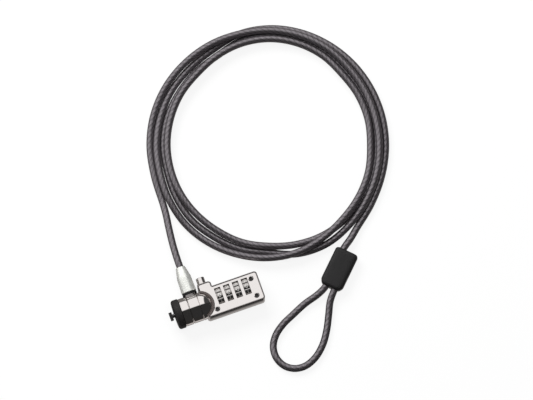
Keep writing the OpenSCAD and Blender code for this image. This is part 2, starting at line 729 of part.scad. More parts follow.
module fin(x, t, extra) {
    half = (fin_w + extra) / 2;
    translate([x, -fin_r - extra, -half]) cube([t, fin_r + extra, 2 * half]);
}
module code_spindle() {
    color("Gray") {
        x_rod(spindle_r, spindle_x0, spindle_x1, wheel_y, wheel_z);
        x_rod(spindle_nose_r, nose_x, spindle_x0 + over, wheel_y, wheel_z);
        translate([nose_x, wheel_y, wheel_z]) sphere(spindle_nose_r);
        for (i = WHEELS) at_wheel(i) fin(fin_dx, fin_t, 0);
        translate([plug_x0 + side_gap, wheel_y, wheel_z]) fin(0, fin_t, 0);
    }
}
module code_ring(i) {
    color("Goldenrod") at_wheel(i) difference() {
        union() {
            translate([-code_w / 2, 0, 0]) rotate([0, 90, 0]) cylinder(r = code_r, h = code_w);
            for (s = [0, 180]) rotate([s, 0, 0])
                translate([-wheel_w / 2, -key_w / 2, 0]) cube([wheel_w, key_w, key_r]);
        }
        translate([-code_w, 0, 0]) rotate([0, 90, 0]) cylinder(r = spindle_r + run_gap, h = 2 * code_w);
        translate([-code_w, 0, 0]) rotate([0, 90, 0])
            cylinder(r = fin_room_r, h = code_w / 2 + fin_pocket);
        fin(-code_w, 2 * code_w, side_gap);
    }
}
module number_wheel(i) {
    groove_at = wheel_r + groove_r - groove_depth;
    color([0.1, 0.1, 0.1]) at_wheel(i) difference() {
        translate([-wheel_w / 2, 0, 0]) rotate([0, 90, 0]) cylinder(r = wheel_r, h = wheel_w);
        translate([-wheel_w, 0, 0]) rotate([0, 90, 0]) cylinder(r = code_r + press_gap, h = 2 * wheel_w);
        for (k = [0 : figures - 1]) rotate([k * figure_angle, 0, 0]) {
            translate([-wheel_w, -key_w / 2 - press_gap, 0])
                cube([2 * wheel_w, key_w + 2 * press_gap, key_r + press_gap]);
            rotate([figure_angle / 2, 0, 0]) translate([-wheel_w, 0, groove_at]) rotate([0, 90, 0])
                cylinder(r = groove_r, h = 2 * wheel_w);
        }
    }
}
module code_washers() {
    color("Silver") for (i = [0 : len(WHEELS)])
        translate([wheel_x - code_w / 2 - side_gap - washer_t + i * wheel_pitch, wheel_y, wheel_z])
            difference() {
                rotate([0, 90, 0]) cylinder(r = key_r, h = washer_t);
                translate([-over, 0, 0]) rotate([0, 90, 0])
                    cylinder(r = spindle_r + run_gap, h = washer_t + 2 * over);
                fin(-over, washer_t + 2 * over, side_gap);
            }
}
module detent_room() {
    translate([wheel_x - wheel_pitch / 2, strip_y0 - side_gap, 0])
        cube([len(WHEELS) * wheel_pitch, strip_w + 2 * side_gap, cover_t + 2 * strip_t]);
}
// A leaf spring under the wheels: a strip on the back cover with a finger for each wheel
module detent_spring() {
    reach = wheel_r + run_gap + detent_r;
    bump = [wheel_y + reach * sin(detent_angle), wheel_z - reach * cos(detent_angle)];
    foot = strip_y0 + strip_w;
    color("Silver") {
        box(
            [wheel_x - wheel_w / 2, strip_y0, cover_t + press_gap],
            [last_wheel_x + wheel_w / 2, foot, cover_t + strip_t]
        );
        for (i = WHEELS) translate([wheel_x + i * wheel_pitch - wheel_w / 2 + finger_inset, 0, 0])
            rotate([90, 0, 90]) linear_extrude(wheel_w - 2 * finger_inset) {
                polygon([
                    [foot - finger_root, cover_t + press_gap], [foot, cover_t + press_gap],
                    [bump.x, bump.y - detent_r], [bump.x, bump.y - detent_r + strip_t],
                    [foot - finger_root, cover_t + strip_t]
                ]);
                translate(bump) circle(detent_r);
            }
    }
}
module end_plug() {
    color("Silver") difference() {
        x_rod(code_bore_r - press_gap, plug_x0, block_end - side_gap, wheel_y, wheel_z);
        x_rod(spindle_r + run_gap, plug_x0 - over, spring_seat_x, wheel_y, wheel_z);
        x_rod(reset_stem_r + run_gap, spring_seat_x - over, reset_x0 + over, wheel_y, wheel_z);
        x_rod(reset_r + run_gap, reset_x0 - press_gap, block_end, wheel_y, wheel_z);
        translate([plug_x0 - over, wheel_y, wheel_z])
            fin(0, over + spindle_shift + fin_t + 3 * side_gap, side_gap);
        for (p = rivet_spots) z_rod(rivet_r + rivet_gap, 0, block_h, p.x, p.y);
    }
}
module spindle_spring() {
    color("Silver") translate([spindle_x1 + spring_gap, wheel_y, wheel_z]) rotate([0, 90, 0])
        spring(spindle_spring_r, spindle_wire_r, spindle_spring_l - 2 * spring_gap, 3);
}
module reset_screw() {
    stem_x0 = spring_seat_x - reset_stem_out;
    color("Gray") difference() {
        union() {
            x_rod(reset_r, reset_x0, reset_x1, wheel_y, wheel_z);
            x_rod(reset_stem_r, stem_x0, reset_x0 + press_gap, wheel_y, wheel_z);
        }
        translate([reset_x1 - reset_slot_depth, wheel_y - reset_r - over, wheel_z - reset_slot_w / 2])
            cube([reset_slot_depth + over, 2 * (reset_r + over), reset_slot_w]);
    }
}

cable_coil();
cable_lock_tail();
cable_loop_tail();
cable_loop();
crimp_sleeve();
crimp_ferrule();
cable_ferrule();
swivel_collar();
swivel_gasket();
main_housing();
face_plate();
back_cover();
housing_rivets();
nose_ring();
nose_plate();
guard_pins();
nose_cap();
t_bar();
t_bar_crank();
release_button();
button_slider();
button_spring();
code_spindle();
spindle_spring();
code_washers();
detent_spring();
end_plug();
reset_screw();
for (i = WHEELS) number_wheel(i);
for (i = WHEELS) code_ring(i);
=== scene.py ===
"""Looks for the combination cable lock: cable, crimp sleeve, head, number wheels and stage.

Run as a script. The CAD solids are the frame. Sizes are in metres unless their name says mm,
apart from the cable's route and the crimp's values below, which are in millimetres.
"""

import json
import math

import bmesh
import bpy
import numpy as np
from bpy.props import FloatProperty, FloatVectorProperty, IntProperty, PointerProperty
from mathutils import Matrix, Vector


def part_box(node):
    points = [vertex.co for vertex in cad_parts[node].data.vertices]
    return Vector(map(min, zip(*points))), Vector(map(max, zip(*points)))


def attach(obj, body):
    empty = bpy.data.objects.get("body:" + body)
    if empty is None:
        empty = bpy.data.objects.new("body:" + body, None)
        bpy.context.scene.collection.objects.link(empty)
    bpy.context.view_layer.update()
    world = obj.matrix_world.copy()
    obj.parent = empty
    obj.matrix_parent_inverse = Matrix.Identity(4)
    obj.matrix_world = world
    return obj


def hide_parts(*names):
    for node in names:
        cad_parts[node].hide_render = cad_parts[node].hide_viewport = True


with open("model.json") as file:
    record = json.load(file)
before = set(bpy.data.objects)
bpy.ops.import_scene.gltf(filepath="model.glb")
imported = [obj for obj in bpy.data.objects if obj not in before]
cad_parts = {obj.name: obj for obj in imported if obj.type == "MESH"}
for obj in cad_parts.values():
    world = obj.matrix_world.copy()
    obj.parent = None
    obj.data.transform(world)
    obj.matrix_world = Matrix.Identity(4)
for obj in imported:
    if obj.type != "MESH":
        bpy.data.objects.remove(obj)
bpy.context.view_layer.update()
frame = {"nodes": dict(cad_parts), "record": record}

bl_info = {
    "name": "Cable lock looks",
    "version": (1, 0, 0),
    "blender": (4, 5, 0),
    "location": "View3D > Sidebar > Cable lock",
    "description": "Builds the cable, crimp sleeve, lock head and stage around the solids",
    "category": "Object",
}

MM = 0.001
SLOT_OF = {p["node"]: p["material_slot"] for p in frame["record"]["subparts"]}
# The kind of node that the trees use most
MATH = "ShaderNodeMath"

# The cable's route in millimetres. It leaves the ferrule, runs to the coil, goes round it a
# little over three and a half times and ends in the loop, whose end lies in the crimp beside
# its start.
LOCK_TAIL = [
    (-15.8, 16.1, 10.2), (-15.8, 22.6, 10.2), (-15.8, 30.1, 10.2), (-15.8, 34.9, 10.1),
    (-15.2, 46.5, 8.6), (-13.5, 61, 5.6), (-12.4, 68.5, 3.8),
]
COIL_AT = (69.7, 90.8)
COIL_FROM = 190.0
COIL_STEP = 15.0
# Radius and height of the strand's centre at each step round the coil
COIL = [
    (82.7, 2.5), (80.8, 2.5), (81.1, 2.9), (81.3, 3.6), (81.1, 4.7), (80.6, 5.8), (80.1, 6.8),
    (79.4, 7.1), (79.3, 6.7), (78.6, 6.8), (77.6, 6.9), (75.9, 6.8), (75.2, 6.8), (74.9, 6.8),
    (75.2, 6.7), (75.9, 6.5), (76.6, 5.8), (77.7, 4.3), (78.6, 3.1), (77.3, 2.4), (74.0, 2.4),
    (74.2, 2.4), (73.5, 2.4), (73.6, 2.4), (72.6, 2.4), (71.6, 2.4), (72.1, 2.4), (71.9, 2.4),
    (71.4, 2.4), (71.4, 2.4), (71.8, 2.4), (75.4, 2.4), (76.7, 2.4), (76.6, 2.4), (75.6, 2.4),
    (73.5, 2.4), (73.1, 2.4), (73.1, 2.4), (73.1, 2.4), (73.1, 2.4), (73.0, 2.4), (72.7, 2.4),
    (72.0, 2.5), (71.0, 3.8), (70.1, 5.5), (69.8, 4.7), (69.1, 5.7), (69.0, 6.3), (69.1, 6.5),
    (69.1, 6.5), (69.3, 6.4), (69.4, 6.5), (69.6, 6.8), (69.5, 7.1), (71.1, 7.2), (72.8, 6.5),
    (73.6, 6.1), (73.2, 5.8), (72.0, 5.6), (69.9, 6.1), (69.8, 5.9), (69.6, 5.6), (69.0, 5.7),
    (70.1, 6.1), (70.9, 6.7), (71.9, 7.1), (74.3, 7.3), (77.2, 7.3), (78.4, 6.4), (78.7, 4.9),
    (78.9, 3.6), (78.8, 3.3), (77.8, 4.8), (76.6, 5.1), (76.6, 4.5), (76.5, 3.6), (76.5, 2.9),
    (76.2, 2.5), (77.0, 2.4), (80.3, 2.4), (81.5, 2.4), (81.5, 2.6), (81.0, 2.9), (80.4, 3.4),
    (79.8, 3.8), (79.5, 3.6), (79.4, 3.3), (79.5, 2.9), (80.4, 2.6),
]
LOOP_TAIL = [(106.5, 16.8, 2.6), (100.5, 11.5, 3.8)]
LOOP = [
    (66.5, -17.5, 3.6), (56, -20.5, 2.6), (46, -24.8, 2.4), (37.5, -28.8, 2.4),
    (30.2, -34.4, 2.4), (26, -41.2, 2.4), (25.4, -49, 2.4), (28.6, -56, 2.4),
    (34.6, -60.2, 2.4), (42, -61, 2.4), (50.4, -57.8, 2.4), (58.2, -51, 2.4),
    (64.2, -42.2, 2.4), (69, -32.6, 2.8), (72.8, -24.8, 3.8),
]
CRIMP_AT = (85.55, -6.35, 4.5)
CRIMP_TURN = math.radians(45)
CRIMP_LENGTH = 28.0
STRAND_OFFSET = 3.3
# How far the route runs straight outside and inside the crimp's ends, and where it stops inside
CRIMP_LEAD = 1
CRIMP_GUIDE = 3
CABLE_END = 8.5
# Points that the route's curve is worked out at between two given ones
CURVE_STEPS = 24


def linear(code, alpha=1.0):
    """An sRGB hex colour as linear RGBA."""
    channels = [int(code[i:i + 2], 16) / 255 for i in (1, 3, 5)]
    return [c / 12.92 if c <= 0.04045 else ((c + 0.055) / 1.055) ** 2.4 for c in channels] + [alpha]


def node(tree, kind, inputs=None, **settings):
    """Adds a node with its settings. An input given as a socket, or as a node whose first output
    is meant, is linked, and any other is set."""
    made = tree.nodes.new(kind)
    for name, value in settings.items():
        setattr(made, name, value)
    for key, value in (inputs or {}).items():
        if isinstance(value, bpy.types.Node):
            value = value.outputs[0]
        if isinstance(value, bpy.types.NodeSocket):
            tree.links.new(value, made.inputs[key])
        else:
            made.inputs[key].default_value = value
    return made


def new_material(name):
    """An empty node material and its tree."""
    material = bpy.data.materials.new(name)
    material.use_nodes = True
    material.node_tree.nodes.clear()
    return material, material.node_tree


def finish_material(tree, shader):
    """Ends a material's tree with its shader."""
    node(tree, "ShaderNodeOutputMaterial", {"Surface": shader})


def placed(name, data):
    """An object in the scene, at the origin, that holds the given data."""
    held = bpy.data.objects.new(name, data)
    bpy.context.scene.collection.objects.link(held)
    return held


def new_piece(name, verts, faces, material, smooth=True):
    """A mesh object with one material."""
    mesh = bpy.data.meshes.new(name)
    mesh.from_pydata([tuple(v) for v in verts], [], faces)
    mesh.materials.append(material)
    if smooth:
        mesh.shade_smooth()
    else:
        mesh.shade_flat()
    return placed(name, mesh)


def ring_faces(rings, sides):
    """Quads between rings of points, and a cap on the first and last ring."""
    faces = []
    for i in range(rings - 1):
        for k in range(sides):
            a, b = i * sides + k, i * sides + (k + 1) % sides
            faces.append((a, b, b + sides, a + sides))
    faces.append(tuple(range(sides - 1, -1, -1)))
    faces.append(tuple(range((rings - 1) * sides, rings * sides)))
    return faces


def applied(piece):
    """Puts the mesh that a piece's modifiers make in their place."""
    bpy.context.view_layer.update()
    held = piece.evaluated_get(bpy.context.evaluated_depsgraph_get())
    mesh = bpy.data.meshes.new_from_object(held)
    piece.modifiers.clear()
    piece.data = mesh
    return mesh


# How near points are welded and how flat faces are joined in a CAD part's mesh, then how sharp
# an edge is rounded and in how many steps
WELD_DISTANCE = 1e-6
FLAT_ANGLE = math.radians(0.4)
SHARP_ANGLE = math.radians(42)
EDGE_SEGMENTS = 3


def edged_copy(name, source, material, radius):
    """A CAD part's shape with its sharp edges rounded."""
    mesh = frame["nodes"][source].data.copy()
    mesh.name = name
    build = bmesh.new()
    build.from_mesh(mesh)
    bmesh.ops.remove_doubles(build, verts=build.verts, dist=WELD_DISTANCE)
    bmesh.ops.dissolve_limit(build, angle_limit=FLAT_ANGLE, verts=build.verts,
                             edges=build.edges)
    build.to_mesh(mesh)
    build.free()
    mesh.materials.clear()
    mesh.materials.append(material)
    mesh.shade_smooth()
    piece = placed(name, mesh)
    round_off = piece.modifiers.new("round_off", "BEVEL")
    round_off.width, round_off.segments = radius, EDGE_SEGMENTS
    round_off.limit_method, round_off.angle_limit = "ANGLE", SHARP_ANGLE
    even = piece.modifiers.new("even", "WEIGHTED_NORMAL")
    even.mode = "FACE_AREA"
    applied(piece)
    return piece


# Cable

def crimp_point(along, across):
    """A place in the crimp in millimetres, along its axis towards the coil and across it."""
    c, s = math.cos(CRIMP_TURN), math.sin(CRIMP_TURN)
    x, y, z = CRIMP_AT
    return (x + along * c - across * s, y + along * s + across * c, z)


def cable_route():
    """All points that the cable runs through, in millimetres."""
    mouth = CRIMP_LENGTH / 2
    inner, outer = mouth - CRIMP_GUIDE, mouth + CRIMP_LEAD
    turns = []
    for k, (radius, height) in enumerate(COIL):
        a = math.radians(COIL_FROM - k * COIL_STEP)
        turns.append((COIL_AT[0] + radius * math.cos(a), COIL_AT[1] + radius * math.sin(a), height))
    return (
        LOCK_TAIL + turns + LOOP_TAIL
        + [crimp_point(t, STRAND_OFFSET) for t in (outer, inner, 0, -inner, -outer)]
        + LOOP
        + [crimp_point(t, -STRAND_OFFSET) for t in (-outer, -inner, CABLE_END)]
    )


def smooth_path(points, step):
    """The points joined by one centripetal Catmull-Rom curve, resampled at even steps."""
    p = np.array(points, float)
    p = np.vstack([2 * p[0] - p[1], p, 2 * p[-1] - p[-2]])
    knots = np.concatenate([[0], np.cumsum(np.linalg.norm(np.diff(p, axis=0), axis=1) ** 0.5)])
    fine = []
    for i in range(1, len(p) - 2):
        t0, t1, t2, t3 = knots[i - 1:i + 3]
        for t in np.linspace(t1, t2, CURVE_STEPS, endpoint=False):
            a1 = (t1 - t) / (t1 - t0) * p[i - 1] + (t - t0) / (t1 - t0) * p[i]
            a2 = (t2 - t) / (t2 - t1) * p[i] + (t - t1) / (t2 - t1) * p[i + 1]
            a3 = (t3 - t) / (t3 - t2) * p[i + 1] + (t - t2) / (t3 - t2) * p[i + 2]
            b1 = (t2 - t) / (t2 - t0) * a1 + (t - t0) / (t2 - t0) * a2
            b2 = (t3 - t) / (t3 - t1) * a2 + (t - t1) / (t3 - t1) * a3
            fine.append((t2 - t) / (t2 - t1) * b1 + (t - t1) / (t2 - t1) * b2)
    fine.append(p[-2])
    fine = np.array(fine)
    along = np.concatenate([[0], np.cumsum(np.linalg.norm(np.diff(fine, axis=0), axis=1))])
    at = np.linspace(0, along[-1], int(along[-1] / step) + 1)
    return np.stack([np.interp(at, along, fine[:, k]) for k in range(3)], axis=1), along[-1]


def tube(name, path, radius, sides, lay, material):
    """A closed tube whose UV map counts turns of the strands' lay along it and turns round it."""
    tangent = np.gradient(path, axis=0)
    tangent /= np.linalg.norm(tangent, axis=1)[:, None]
    side = np.cross(tangent[0], (0, 0, 1))
    verts = []
    for centre, t in zip(path, tangent):
        side = side - t * side.dot(t)
        side /= np.linalg.norm(side)
        up = np.cross(side, t)
        for k in range(sides):
            a = 2 * math.pi * k / sides
            verts.append(centre + radius * (math.cos(a) * side + math.sin(a) * up))
    rings = len(path)
    step = np.linalg.norm(path[1] - path[0]) / lay
    uvs = []
    for i in range(rings - 1):
        for k in range(sides):
            u0, u1, v0, v1 = i * step, (i + 1) * step, k / sides, (k + 1) / sides
            uvs += [(u0, v0), (u0, v1), (u1, v1), (u1, v0)]
    uvs += [(0, 0)] * (2 * sides)
    piece = new_piece(name, verts, ring_faces(rings, sides), material)
    layer = piece.data.uv_layers.new(name="lay")
    for loop, uv in zip(layer.data, uvs):
        loop.uv = uv
    return piece


# Ridges of wires to one ridge of a strand, counted round the cable and along it, where they slant
# the other way, how far they stand out against a strand, and the relief below which a valley is
# at its darkest
WIRES_ROUND = 4
WIRES_ALONG = -3
WIRE_RELIEF = 0.35
VALLEY_RELIEF = 0.1


def coated_rope(look):
    """Clear smoked vinyl over a steel wire rope: the strands show as slanting bands under a smooth
    glossy skin, dark in the valleys between them, where the valley colour is painted shade."""
    material, tree = new_material("vinyl_coated_wire_rope")
    uv = node(tree, "ShaderNodeUVMap", uv_map="lay")
    split = node(tree, "ShaderNodeSeparateXYZ", {0: uv})

    def ridges(count, slope):
        """0 in the valleys and 1 on the crests of strands that wind round the rope."""
        turn = node(tree, MATH, {0: split.outputs["Y"], 1: count * math.pi}, operation="MULTIPLY")
        wind = node(tree, MATH, {0: split.outputs["X"], 1: slope * math.pi, 2: turn},
                    operation="MULTIPLY_ADD")
        wave = node(tree, MATH, {0: wind}, operation="SINE")
        return node(tree, MATH, {0: wave}, operation="ABSOLUTE")

    strands = ridges(look.strands, look.strands)
    wires = ridges(look.strands * WIRES_ROUND, look.strands * WIRES_ALONG)
    relief = node(tree, MATH, {0: wires, 1: WIRE_RELIEF, 2: strands}, operation="MULTIPLY_ADD")
    # The valley colour darkens the creases between strands: painted shade
    colour = node(tree, "ShaderNodeValToRGB", {0: relief})
    valley, crest = colour.color_ramp.elements
    valley.position, valley.color = VALLEY_RELIEF, list(look.valley_colour) + [1]
    crest.position, crest.color = 1.0, list(look.wire_colour) + [1]
    bump = node(tree, "ShaderNodeBump", {"Height": relief, "Strength": 0.3,
                                         "Distance": 0.2 * MM})
    finish_material(tree, node(tree, "ShaderNodeBsdfPrincipled", {
        "Base Color": colour, "Metallic": 0.85, "Roughness": 0.32, "Normal": bump,
        "Coat Weight": 0.5, "Coat Roughness": 0.2, "Coat IOR": 1.5}))
    return material


class CableLook(bpy.types.PropertyGroup):
    diameter: FloatProperty(name="Diameter", description="Over the plastic coat",
                            default=4.8 * MM, unit="LENGTH")
    lay: FloatProperty(name="Lay", description="Length in which a strand winds once round",
                       default=24 * MM, unit="LENGTH")
    strands: IntProperty(name="Strands", description="Strands round the rope", default=6)
    sides: IntProperty(name="Sides", description="Faces round the coat", default=20)
    ring_step: FloatProperty(name="Ring step", description="Distance between rings of points",
                             default=1.6 * MM, unit="LENGTH")
    wire_colour: FloatVectorProperty(name="Wire", description="Steel seen through the coat",
                                     subtype="COLOR", default=linear("#827d81")[:3])
    valley_colour: FloatVectorProperty(name="Valley", description="Shade between the strands",
                                       subtype="COLOR", default=linear("#5c575b")[:3])


class LOCK_OT_cable(bpy.types.Operator):
    """The coated steel cable, from the ferrule round the coil to the end of the loop"""

    bl_idname = "lock.cable"
    bl_label = "Cable"

    def execute(self, context):
        look = context.scene.lock_cable
        path, length = smooth_path(np.array(cable_route()) * MM, look.ring_step)
        cable = tube("cable", path, look.diameter / 2, look.sides, look.lay, coated_rope(look))
        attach(cable, "cable")
        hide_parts("cable_coil", "cable_lock_tail", "cable_loop_tail", "cable_loop")
        return {"FINISHED"}


# Finishes of the CAD parts

# Roughness of a metal's smoothest and dullest grain against its own, and how much larger the
# patches of a polymer's two tones are than its fine texture
SMOOTH_GRAIN, DULL_GRAIN = 0.75, 1.3
PATCH_SCALE = 12


def metal(name, colour, roughness, grain_mm, bump_mm=0.0, stretch=(1, 1, 1), metallic=1.0):
    """A bare or plated metal whose roughness varies with the grain of its surface."""
    material, tree = new_material(name)
    place = node(tree, "ShaderNodeTexCoord")
    mapping = node(tree, "ShaderNodeMapping", {"Vector": place.outputs["Object"],
                                               "Scale": stretch})
    grain = node(tree, "ShaderNodeTexNoise", {
        "Vector": mapping, "Scale": 1 / (grain_mm * MM), "Detail": 3.0})
    rough = node(tree, "ShaderNodeMapRange", {
        "Value": grain, "From Min": 0.3, "From Max": 0.7,
        "To Min": roughness * SMOOTH_GRAIN, "To Max": roughness * DULL_GRAIN})
    inputs = {"Base Color": linear(colour), "Metallic": metallic, "Roughness": rough}
    if bump_mm:
        inputs["Normal"] = node(tree, "ShaderNodeBump", {
            "Height": grain, "Strength": 0.5, "Distance": bump_mm * MM})
    finish_material(tree, node(tree, "ShaderNodeBsdfPrincipled", inputs))
    return material


def polymer(name, colour, worn, roughness, grain_mm, bump_mm):
    """A plastic, a rubber or a dark oxide: two close tones and a fine texture."""
    material, tree = new_material(name)
    place = node(tree, "ShaderNodeTexCoord")
    grain = node(tree, "ShaderNodeTexNoise", {
        "Vector": place.outputs["Object"], "Scale": 1 / (grain_mm * MM), "Detail": 2.0})
    patch = node(tree, "ShaderNodeTexNoise", {
        "Vector": place.outputs["Object"], "Scale": 1 / (grain_mm * PATCH_SCALE * MM),
        "Detail": 3.0})
    tone = node(tree, "ShaderNodeMix", {0: patch, 6: linear(colour), 7: linear(worn)},
                data_type="RGBA")
    bump = node(tree, "ShaderNodeBump", {
        "Height": grain, "Strength": 0.6, "Distance": bump_mm * MM})
    finish_material(tree, node(tree, "ShaderNodeBsdfPrincipled", {
        "Base Color": tone.outputs[2], "Roughness": roughness, "Specular IOR Level": 0.35,
        "Normal": bump}))
    return material


# The record's material slots, how each is made and what that gives the eye
FINISHES = {
    # Chrome plate on a polished casting: a mirror that ripples slightly
    "chrome": lambda: metal("chrome_plated_zinc", "#ebe6e4", 0.07, 1.6, 0.003),
    # Turned steel: mid grey with soft, finely grained highlights
    "steel": lambda: metal("turned_steel", "#8d8d90", 0.3, 0.5, 0.006),
    # Drawn and hardened wire: darker grey and smoother
    "spring_steel": lambda: metal("spring_steel", "#7b7c80", 0.25, 0.4),
    # Sheet brushed along X: highlights spread across long fine lines
    "cover_steel": lambda: metal("brushed_steel_sheet", "#b9b9ba", 0.3, 0.6, 0.006, (0.08, 1, 1)),
    # Machined brass: warm yellow with a satin shine
    "brass": lambda: metal("machined_brass", "#c9a04c", 0.25, 0.5, 0.004),
    # Drawn aluminium: pale and slightly dull
    "crimp_metal": lambda: metal("drawn_aluminium", "#bfc0c2", 0.32, 0.6, 0.006),
    # Moulded rubber: near black and matt
    "rubber": lambda: polymer("moulded_rubber", "#1b1a1a", "#262424", 0.6, 0.5, 0.02),
    # Moulded nitrile: black with a faint sheen
    "gasket": lambda: polymer("nitrile_rubber", "#101010", "#191818", 0.5, 0.4, 0.01),
    # Bright nickel plate: grey, clear enough to hold light and dark bands
    "wheel_black": lambda: metal("bright_nickel_plate", "#bcb8b6", 0.2, 0.8, 0.004),
    # Moulded vinyl: soft black with a broad sheen
    "sleeve": lambda: polymer("moulded_vinyl", "#171717", "#1f1e1f", 0.48, 0.7, 0.02),
    # Extruded vinyl: smooth dark grey
    "cable_coat": lambda: polymer("vinyl", "#3a3939", "#444343", 0.3, 0.5, 0.01),
}
MADE = {}


def finish_of(slot):
    """The material of a record slot, made the first time it is asked for."""
    if slot not in MADE:
        MADE[slot] = FINISHES[slot]()
    return MADE[slot]


class LOCK_OT_finishes(bpy.types.Operator):
    """Gives every CAD part the finish of its material slot"""

    bl_idname = "lock.finishes"
    bl_label = "CAD finishes"

    def execute(self, context):
        for name, part in frame["nodes"].items():
            part.data.materials.clear()
            part.data.materials.append(finish_of(SLOT_OF[name]))
        return {"FINISHED"}


# Head

class HeadLook(bpy.types.PropertyGroup):
    edge: FloatProperty(name="Edge", description="Radius on the casting's edges",
                        default=0.3 * MM, unit="LENGTH")
    fine_edge: FloatProperty(name="Fine edge", description="Radius on thin parts' edges",
                             default=0.12 * MM, unit="LENGTH")
    # The boss from here outwards is painted greyer: painted shade and darker reflection under the
    # gasket
    boss_from: FloatProperty(name="Boss start", description="Distance from the barrel's axis at "
                             "which the collar's dull boss begins", default=9.75 * MM,
                             unit="LENGTH")
    # The dark dish is painted shade in the rivet's hollow
    dish_radius: FloatProperty(name="Dish radius", description="Radius of the dark dish in a "
                               "rivet's head", default=1.38 * MM, unit="LENGTH")


class LOCK_OT_head(bpy.types.Operator):
    """Plated casting, face plate, rivets, nose and swivel with rounded edges"""

    bl_idname = "lock.head"
    bl_label = "Head"

    def execute(self, context):
        look = context.scene.lock_head
        own = {"t_bar": blackened_steel(), "cable_ferrule": satin_nickel()}
        for source, body, radius in (
            ("main_housing", "housing", look.edge),
            ("face_plate", "housing", look.fine_edge),
            ("back_cover", "housing", look.fine_edge),
            ("housing_rivets", "housing", look.fine_edge),
            ("nose_ring", "housing", look.edge),
            ("nose_cap", "housing", look.edge),
            ("swivel_collar", "collar", look.edge),
            ("swivel_gasket", "collar", look.edge),
            ("cable_ferrule", "cable", look.edge),
            ("release_button", "button", look.edge),
            ("t_bar", "t_bar", look.fine_edge),
        ):
            slot = SLOT_OF[source]
            material = own.get(source) or finish_of(slot)
            piece = edged_copy(source + "_edged", source, material, radius)
            # The rivets' dishes are painted near black: painted shade in their hollows
            if source == "housing_rivets":
                darken_dishes(piece, look.dish_radius)
            # The collar's boss is painted greyer: painted shade and darker reflection under the
            # gasket
            if source == "swivel_collar":
                dull_boss(piece, look.boss_from)
            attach(piece, body)
            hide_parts(source)
        return {"FINISHED"}


class BeadLook(bpy.types.PropertyGroup):
    dome_x: FloatProperty(name="Dome centre", description="Along the barrel",
                          default=-12 * MM, unit="LENGTH")
    dome_bead: FloatProperty(name="Dome bead", description="Radius of its line round the dome",
                             default=9.1 * MM, unit="LENGTH")
    dome_width: FloatProperty(name="Dome bead width", description="Across the dome's bead",
                              default=1.8 * MM, unit="LENGTH")
    rim_inset: FloatProperty(name="Rim inset", description="From the plate's outline to the rim",
                             default=0.48 * MM, unit="LENGTH")
    rim_width: FloatProperty(name="Rim width", description="Across the plate's raised rim",
                             default=0.9 * MM, unit="LENGTH")
    corner: FloatProperty(name="Corner", description="Radius of the plate's corners",
                          default=2 * MM, unit="LENGTH")
    flatness: FloatProperty(name="Flatness", description="Height of a bead against its width",
                            default=0.55, subtype="FACTOR")


def arc(x, y, radius, start, end, steps=8):
    """Points on an arc in plan, angles in degrees."""
    return [(x + radius * math.cos(math.radians(a)), y + radius * math.sin(math.radians(a)))
            for a in np.linspace(start, end, steps)]


# Where the plate's rim begins on its first corner and ends beside the dome, the size of its inner
# corner, how far the dark bead of painted shade reaches round the dome, and points and sides of the
# beads
RIM_FROM = 215
RIM_END = 8.6 * MM
RIM_INNER_CORNER = 0.4 * MM
DOME_REACH = 73
DOME_POINTS = 60
BEAD_SIDES = 16


def bead(name, line, z, width, look, material):
    """A low rounded bead along a line in plan."""
    path = np.array([(x, y, z) for x, y in line])
    piece = tube(name, path, width / 2, BEAD_SIDES, width, material)
    for v in piece.data.vertices:
        v.co.z = z + (v.co.z - z) * look.flatness
    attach(piece, "housing")
    return piece


class LOCK_OT_beads(bpy.types.Operator):
    """Raised rim along the face plate's outline, its plating painted greyer as shade, and a dark
    bead of painted shade in the groove where it meets the dome
    """

    bl_idname = "lock.beads"
    bl_label = "Beads"

    def execute(self, context):
        look = context.scene.lock_beads
        low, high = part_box("face_plate")
        inset = look.rim_inset
        r = look.corner - inset
        west, east, south, top = low[0] + inset, high[0] - inset, low[1] + inset, high[2]
        shoulder, side, north = high[1] - inset, -inset, -low[1] - inset
        inner = [(side + RIM_INNER_CORNER, north), (side, north + RIM_INNER_CORNER)]
        outline = (
            arc(west + r, south + r, r, RIM_FROM, 270) + arc(east - r, south + r, r, -90, 0)
            + arc(east - r, north - r, r, 0, 90) + inner
            + arc(side - r, shoulder - r, r, 0, 90) + arc(west + r, shoulder - r, r, 90, 180)
            + [(west, RIM_END)]
        )
        # The rim's greyer plating is painted shade and darker reflection along the plate's outline
        rim = bead("plate_rim", outline, top, look.rim_width, look, rolled_edge())
        # The dome's bead is a dark ring of painted shade in the groove round the dome
        round_dome = arc(look.dome_x, 0, look.dome_bead, -DOME_REACH, DOME_REACH, DOME_POINTS)
        dome_shade_ring = bead("dome_bead", round_dome, top, look.dome_width, look, grey_elastomer())
        return {"FINISHED"}


def grey_elastomer():
    """Grey-brown, soft and even with a slight sheen: painted shade in the groove round the dome,
    laid there as a bead.
    """
    return polymer("grey_elastomer", "#4d4644", "#58504e", 0.5, 0.5, 0.008)


def dull_boss(collar, start):
    """Paints the collar's boss, all that stands out beyond its barrel, with the greyer edge
    plating: painted shade and darker reflection under the gasket.
    """
    mesh = collar.data
    low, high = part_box("nose_ring")
    axis_z = high[2] / 2 + low[2] / 2
    mesh.materials.append(rolled_edge())
    for face in mesh.polygons:
        if math.hypot(face.center.y, face.center.z - axis_z) > start:
            face.material_index = 1


def blackened_steel():
    """Black-oxide steel: near black with a thin oily sheen. In the rivets' dishes it is painted
    shade.
    """
    return polymer("black_oxide_and_dish_shade_steel", "#141313", "#1e1c1c", 0.35, 0.3, 0.004)


def rolled_edge():
    """Plating on a rolled edge painted greyer and duller than the face: painted shade and darker
    reflection along the plate's outline and on the collar's boss.
    """
    return metal("chrome_edge_painted_shade", "#8c8786", 0.25, 0.8, 0.003)


